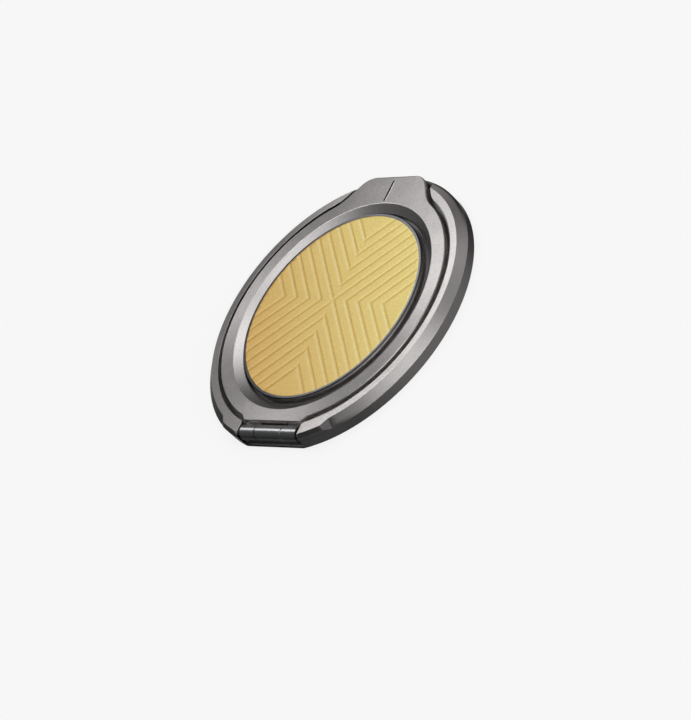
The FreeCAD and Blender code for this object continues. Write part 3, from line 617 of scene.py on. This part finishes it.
# %% [markdown]
# ## The pressed inlay
# The real inlay looks like a sheet pressed between heated dies and punched out round. The code does the
# same. In axes turned to run along the grooves, every groove lies where the smaller of the two distances
# from the axes is a multiple of the pitch: that one rule draws the cross and the nested chevrons. In the
# photograph the pattern is a little stretched, off centre and fanned, so its points are moved that way
# afterwards. The lip round it stands proud there, so the sheet is sunk below the CAD disc's top. The
# grid's lines follow the groove walls, so the walls stay crisp with few faces.

# %% Pattern of the inlay
INLAY_SUNK = 0.11
inlay_low, inlay_high = measured("inlay_disc")
INLAY_RADIUS, INLAY_LOW = inlay_high[0], inlay_low[2]
INLAY_TOP = round(inlay_high[2] - INLAY_SUNK, 2)
PITCH, GROOVES = 2.415, 4
GROOVE_HALF, GROOVE_WALL, GROOVE_DEPTH = 0.5, 0.38, 0.09
PATTERN_TURN = math.radians(42.2)
PATTERN_STRETCH = (0.996, 1.031)
PATTERN_MIDDLE = (-0.25, 1.12)
PATTERN_FAN = (0.0024, 0.0012)


def pressed_height(u, v):
    """Height of the sheet's face: top, less the depth times a smooth step of how far the smaller
    distance from the two pattern axes is inside the nearest groove's wall."""
    nearest = np.minimum(np.abs(u), np.abs(v))
    line = np.clip(np.round(nearest / PITCH), 0, GROOVES) * PITCH
    inside = np.clip((GROOVE_HALF - np.abs(nearest - line)) / GROOVE_WALL, 0, 1)
    return INLAY_TOP - GROOVE_DEPTH * inside ** 2 * (3 - 2 * inside)


def on_disc(u, v):
    """Plan place of pattern points: stretched, turned and shifted, then divided by one plus the fan's
    share of the distance along each axis, which draws the grooves together at one end."""
    along = np.stack([u.ravel(), v.ravel()], 1)
    cosine, sine = math.cos(PATTERN_TURN), math.sin(PATTERN_TURN)
    turned = (along * PATTERN_STRETCH) @ np.array([[cosine, sine], [-sine, cosine]]) + PATTERN_MIDDLE
    return turned / (1 + along @ np.array(PATTERN_FAN))[:, None]


def grid_faces(rows, columns):
    """Quads of a grid of points, row after row."""
    corner = np.arange(rows * columns).reshape(rows, columns)
    corners = [corner[:-1, :-1], corner[:-1, 1:], corner[1:, 1:], corner[1:, :-1]]
    return np.stack(corners, -1).reshape(-1, 4)


def new_piece(name, points, faces):
    """An object from points in millimetres."""
    mesh = bpy.data.meshes.new(name)
    mesh.from_pydata((np.asarray(points) * MM).tolist(), [], [list(map(int, face)) for face in faces])
    mesh.validate()
    piece = bpy.data.objects.new(name, mesh)
    bpy.context.scene.collection.objects.link(piece)
    return piece


print("inlay radius, underside and top:", INLAY_RADIUS, INLAY_LOW, INLAY_TOP, "pitch:", PITCH)

# %% [markdown]
# The sheet is larger than the disc and has a flat underside and a skirt, so that it is closed and can be
# cut by a Boolean. Its grid lines are close at the groove walls, few on the ridges and wide outside.

# %% Press the sheet
SHEET_BELOW, SHEET_BEYOND = 0.5, 2.0
walls = GROOVE_HALF - GROOVE_WALL * np.linspace(0, 1, 6)
lines = (np.arange(-GROOVES, GROOVES + 1)[:, None] * PITCH + np.concatenate([-walls, walls])).ravel()
ridges = (np.arange(-GROOVES, GROOVES)[:, None] + np.array([0.35, 0.5, 0.65])).ravel() * PITCH
outer = np.linspace(GROOVES * PITCH + 1.0, INLAY_RADIUS + SHEET_BEYOND, 12)
axis = np.sort(np.concatenate([lines, ridges, outer, -outer]))
u, v = np.meshgrid(axis, axis)
plan = on_disc(u, v)
count = len(axis)
face = np.column_stack([plan, pressed_height(u, v).ravel()])
under = np.column_stack([plan, np.full(count ** 2, INLAY_LOW - SHEET_BELOW)])
top_faces = grid_faces(count, count)
index = np.arange(count ** 2).reshape(count, count)
rim = np.concatenate([index[0], index[1:, -1], index[-1, -2::-1], index[-2:0:-1, 0]])
onward = np.roll(rim, -1)
skirt = np.column_stack([rim, rim + count ** 2, onward + count ** 2, onward])
sheet_faces = np.concatenate([top_faces, top_faces[:, ::-1] + count ** 2, skirt])
inlay = new_piece("inlay_face", np.concatenate([face, under]), sheet_faces)
print("pressed sheet:", len(inlay.data.polygons), "faces")

# %% [markdown]
# The punch is a turned shape: a cylinder with its upper edge rounded over, as a die leaves it. A lathe is
# one profile carried round the axis, so its points are an outer product of the profile's radii with a
# circle. Where sheet and punch overlap, the inlay remains.

# %% Punch the inlay
TURNS, PUNCH_ROUND, PUNCH_OVER = 256, 0.1, 0.01
bend = np.radians(np.linspace(0, 90, 7))
profile_r = np.concatenate([[INLAY_RADIUS], INLAY_RADIUS - PUNCH_ROUND * (1 - np.cos(bend))])
profile_z = np.concatenate([[INLAY_LOW], INLAY_TOP + PUNCH_OVER - PUNCH_ROUND * (1 - np.sin(bend))])
angle = np.linspace(0, 2 * math.pi, TURNS, endpoint=False)
lathe = np.stack([np.outer(profile_r, np.cos(angle)), np.outer(profile_r, np.sin(angle)),
                  np.outer(profile_z, np.ones(TURNS))], -1).reshape(-1, 3)
start = np.arange(TURNS)
step = np.roll(start, -1)
rows = np.arange(len(profile_r) - 1)[:, None, None] * TURNS
sides = (np.column_stack([start, step, step + TURNS, start + TURNS]) + rows).reshape(-1, 4)
caps = [start[::-1], start + (len(profile_r) - 1) * TURNS]
punch = new_piece("punch", lathe, [*sides, *caps])
cut = inlay.modifiers.new("punch", "BOOLEAN")
cut.operation = "INTERSECT"
cut.solver = "EXACT"
cut.object = punch
ready = inlay.evaluated_get(bpy.context.evaluated_depsgraph_get())
inlay.data = bpy.data.meshes.new_from_object(ready)
inlay.modifiers.clear()
bpy.data.objects.remove(punch)
inlay.data.shade_smooth()
inlay.data.set_sharp_from_angle(angle=math.radians(35))
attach(inlay, "base")
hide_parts("inlay_disc")
print("inlay:", len(inlay.data.polygons), "faces")

# %% [markdown]
# ## The inlay's colour
# The sheet's colour is an even ramp from a warm amber to straw yellow across the disc, away from the
# hinge. The groove flanks that face away from the low light are painted darker as painted shade, and
# those that face it are painted paler as a painted highlight, told apart by the face's normal. Pebbles
# and faint clouds keep the colour from looking printed, and the finish is satin.

# %% Inlay leather
AMBER, STRAW = (0.56, 0.345, 0.083), (0.735, 0.595, 0.19)
FLANK_SHADE, FLANK_HIGHLIGHT = (0.8, 0.64, 0.35), (1.02, 1.12, 1.8)
# Heading of a flank, share per unit of the normal along it, and what the colour is multiplied by:
# painted shade on the flanks turned from the low lamp, a painted highlight on those turned to it.
FLANKS = [((-0.94, 0.342, 0.0), 5.0, FLANK_SHADE), ((0.866, 0.5, 0.0), 3.4, FLANK_HIGHLIGHT)]
LEATHER_SCALE, LEATHER_CONTRAST, LEATHER_DEPTH = 5000.0, 0.5, 0.022 * MM
CLOUDS_SCALE, CLOUDS_SWING = 300.0, 0.06
leather, tree, shader = new_material("inlay_leather", Roughness=0.45, Specular_IOR_Level=0.4)
texture = add(tree, "ShaderNodeTexCoord").outputs
across_disc = vector_calc(tree, "DOT_PRODUCT", texture["Object"], (0.8 / MM, 0.6 / MM, 0.0))
colour_ramp = add(tree, "ShaderNodeMapRange")
for socket, value in zip(colour_ramp.inputs, (across_disc, -INLAY_RADIUS, INLAY_RADIUS)):
    put(tree, socket, value)
sheet_colour = blend(tree, colour_ramp.outputs[0], AMBER, STRAW)
for heading, share, change in FLANKS:
    flank = calc(tree, "MULTIPLY", vector_calc(tree, "DOT_PRODUCT", texture["Normal"], heading), share)
    sheet_colour = blend(tree, flank, sheet_colour, vector_calc(tree, "MULTIPLY", sheet_colour, change))
skin = use(tree, pebble_group, Scale=LEATHER_SCALE, Contrast=LEATHER_CONTRAST)
clouds = calc(tree, "MULTIPLY", noise(tree, texture["Object"], CLOUDS_SCALE), CLOUDS_SWING)
clouds = calc(tree, "ADD", clouds, 1 - CLOUDS_SWING / 2)
tone = calc(tree, "MULTIPLY", skin["Tone"], clouds)
put(tree, shader["Base Color"], vector_calc(tree, "SCALE", sheet_colour, tone))
put(tree, shader["Normal"], bump(tree, skin["Height"], LEATHER_DEPTH))
inlay.data.materials.clear()
inlay.data.materials.append(leather)
dress(leather, "inlay_disc")
print("leather nodes:", len(tree.nodes))

# %% [markdown]
# ## Plastics, rubber and glue
# On the back, a thin moulded plate closes the magnet pocket, and a soft pad spares the phone. The
# washers in the hinge are a slippery black plastic, and the inlay is held by an amber film. They share
# the pebbled skin: coarse on the rubber, hardly to be felt on the plastics.

# %% Soft materials
WASHERS = ["friction_washer_left", "friction_washer_right"]
# Tint, gloss, pebbles per metre, contrast of the creases, depth of the pebbles in mm, and the nodes.
SOFT = {
    "pad_rubber": ((0.028, 0.028, 0.03), 0.62, 1800.0, 0.5, 0.05, ["back_pad"]),
    "plate_plastic": ((0.06, 0.06, 0.064), 0.42, 5200.0, 0.3, 0.015, ["back_plate"]),
    "washer_plastic": ((0.02, 0.02, 0.02), 0.36, 6500.0, 0.12, 0.01, WASHERS),
    "adhesive_film": ((0.55, 0.47, 0.3), 0.2, 900.0, 0.2, 0.01, ["inlay_adhesive"]),
}
for name, (tint, gloss, scale, contrast, depth, wearers) in SOFT.items():
    material, tree, shader = new_material(name, Roughness=gloss)
    skin = use(tree, pebble_group, Scale=scale, Contrast=contrast)
    put(tree, shader["Base Color"], vector_calc(tree, "SCALE", tint, skin["Tone"]))
    put(tree, shader["Normal"], bump(tree, skin["Height"], depth * MM))
    dress(material, *wearers)
    print(name, "on", len(wearers), "nodes")

# %% [markdown]
# ## Floor
# The floor is a plain pale sheet, a hair below the pad so that the two don't share a plane. Camera and
# mirror-like rays see most of it as an even glow, so that the background stays the same pale grey as in
# the photograph. The rest is a diffuse white, which keeps a soft shadow under the part.

# %% Floor
FLOOR_SIZE, FLOOR_DROP = 40, 0.02 * MM
PAPER, GLOW, GLOW_SHARE = (0.8, 0.8, 0.8), (0.95, 0.95, 0.95), 0.86
bpy.ops.mesh.primitive_plane_add(size=FLOOR_SIZE, location=(0, 0, -FLOOR_DROP))
floor = bpy.context.object
floor.name = "floor"
material, tree, _ = new_material("floor")
tree.nodes.remove(tree.nodes["Principled BSDF"])
paper = add(tree, "ShaderNodeBsdfDiffuse")
put(tree, paper.inputs["Color"], PAPER)
glow = add(tree, "ShaderNodeEmission")
put(tree, glow.inputs["Color"], GLOW)
rays = add(tree, "ShaderNodeLightPath").outputs
seen = calc(tree, "MAXIMUM", rays["Is Camera Ray"], rays["Is Glossy Ray"])
seen = calc(tree, "MAXIMUM", seen, rays["Is Transmission Ray"])
mix = add(tree, "ShaderNodeMixShader")
put(tree, mix.inputs["Fac"], calc(tree, "MULTIPLY", seen, GLOW_SHARE))
put(tree, mix.inputs[1], paper.outputs[0])
put(tree, mix.inputs[2], glow.outputs[0])
put(tree, tree.nodes["Material Output"].inputs["Surface"], mix.outputs[0])
floor.data.materials.append(material)
print("floor:", floor.name)

# %% [markdown]
# ## Light
# A studio tent with five soft lamps behind its cloth lights the part. Each lamp is a round glow that
# fades with the angle from its middle: strength times e to the power of tightness times the cosine of
# that angle less one. A group in the world's own tree does this, so there are no lamp objects to move.
# Places and strengths were fitted until the broad highlights matched the photograph.

# %% Studio dome
CLOTH, BACKDROP = 0.113, 0.93
# Azimuth and elevation in degrees, tightness and strength.
LAMPS = {
    "high fill from the left": (-137.3, 68.9, 25.4, 1.0),
    "main light, nearly overhead": (-20.0, 76.0, 17.2, 3.15),
    "small lamp behind, for the streak on the ring's inner bevel": (162.6, 47.7, 120.0, 11.65),
    "fill from the right": (94.8, 51.5, 17.9, 2.5),
    "low front lamp, for the walls of the grooves and gaps": (-5.0, 22.0, 40.0, 8.1),
}
lamp_group, lamp_in, lamp_out = new_group(
    "soft_lamp", {"Middle": "Vector", "Tightness": "Float", "Strength": "Float"}, {"Glow": "Float"})
tree = lamp_group
direction = add(tree, "ShaderNodeTexCoord").outputs["Generated"]
fall = calc(tree, "SUBTRACT", vector_calc(tree, "DOT_PRODUCT", direction, lamp_in["Middle"]), 1.0)
glow = calc(tree, "EXPONENT", calc(tree, "MULTIPLY", fall, lamp_in["Tightness"]))
put(tree, lamp_out["Glow"], calc(tree, "MULTIPLY", glow, lamp_in["Strength"]))

world = bpy.data.worlds.new("studio")
bpy.context.scene.world = world
world.use_nodes = True
tree = world.node_tree
total = CLOTH
for azimuth, elevation, tightness, strength in LAMPS.values():
    a, e = math.radians(azimuth), math.radians(elevation)
    middle = (math.cos(e) * math.cos(a), math.cos(e) * math.sin(a), math.sin(e))
    lamp = use(tree, lamp_group, Middle=middle, Tightness=tightness, Strength=strength)
    total = calc(tree, "ADD", total, lamp["Glow"])
seen = add(tree, "ShaderNodeLightPath").outputs["Is Camera Ray"]
backdrop = add(tree, "ShaderNodeMix", data_type="FLOAT")
for socket, value in ((0, seen), (2, total), (3, BACKDROP)):
    put(tree, backdrop.inputs[socket], value)
put(tree, tree.nodes["Background"].inputs["Color"], backdrop.outputs[0])
print("lamps:", ", ".join(LAMPS))

# %% [markdown]
# ## Camera
# The camera stands about 0.6 m away with a long lens, 34 degrees above the floor, and is rolled so that
# the stand lies aslant in the frame, as in the photograph. Its axes are built from the direction that it
# looks back along.

# %% Camera
LENS, SENSOR, ROLL = 168.6, 36, math.radians(-47.319)
camera = bpy.data.objects.new("camera", bpy.data.cameras.new("camera"))
bpy.context.scene.collection.objects.link(camera)
camera.data.lens = LENS
camera.data.sensor_width = SENSOR
back = Vector((0.739827, -0.373439, 0.559642)).normalized()
level = Vector((0, 0, 1)).cross(back).normalized()
lift = back.cross(level)
right = level * math.cos(ROLL) + lift * math.sin(ROLL)
axes = Matrix((right, back.cross(right), back)).transposed()
position = Vector((453.111, -234.919, 337.823)) * MM
camera.matrix_world = Matrix.Translation(position) @ axes.to_4x4()
bpy.context.scene.camera = camera
bpy.context.scene.view_settings.view_transform = "Standard"
print("camera distance in mm:", round(position.length / MM))
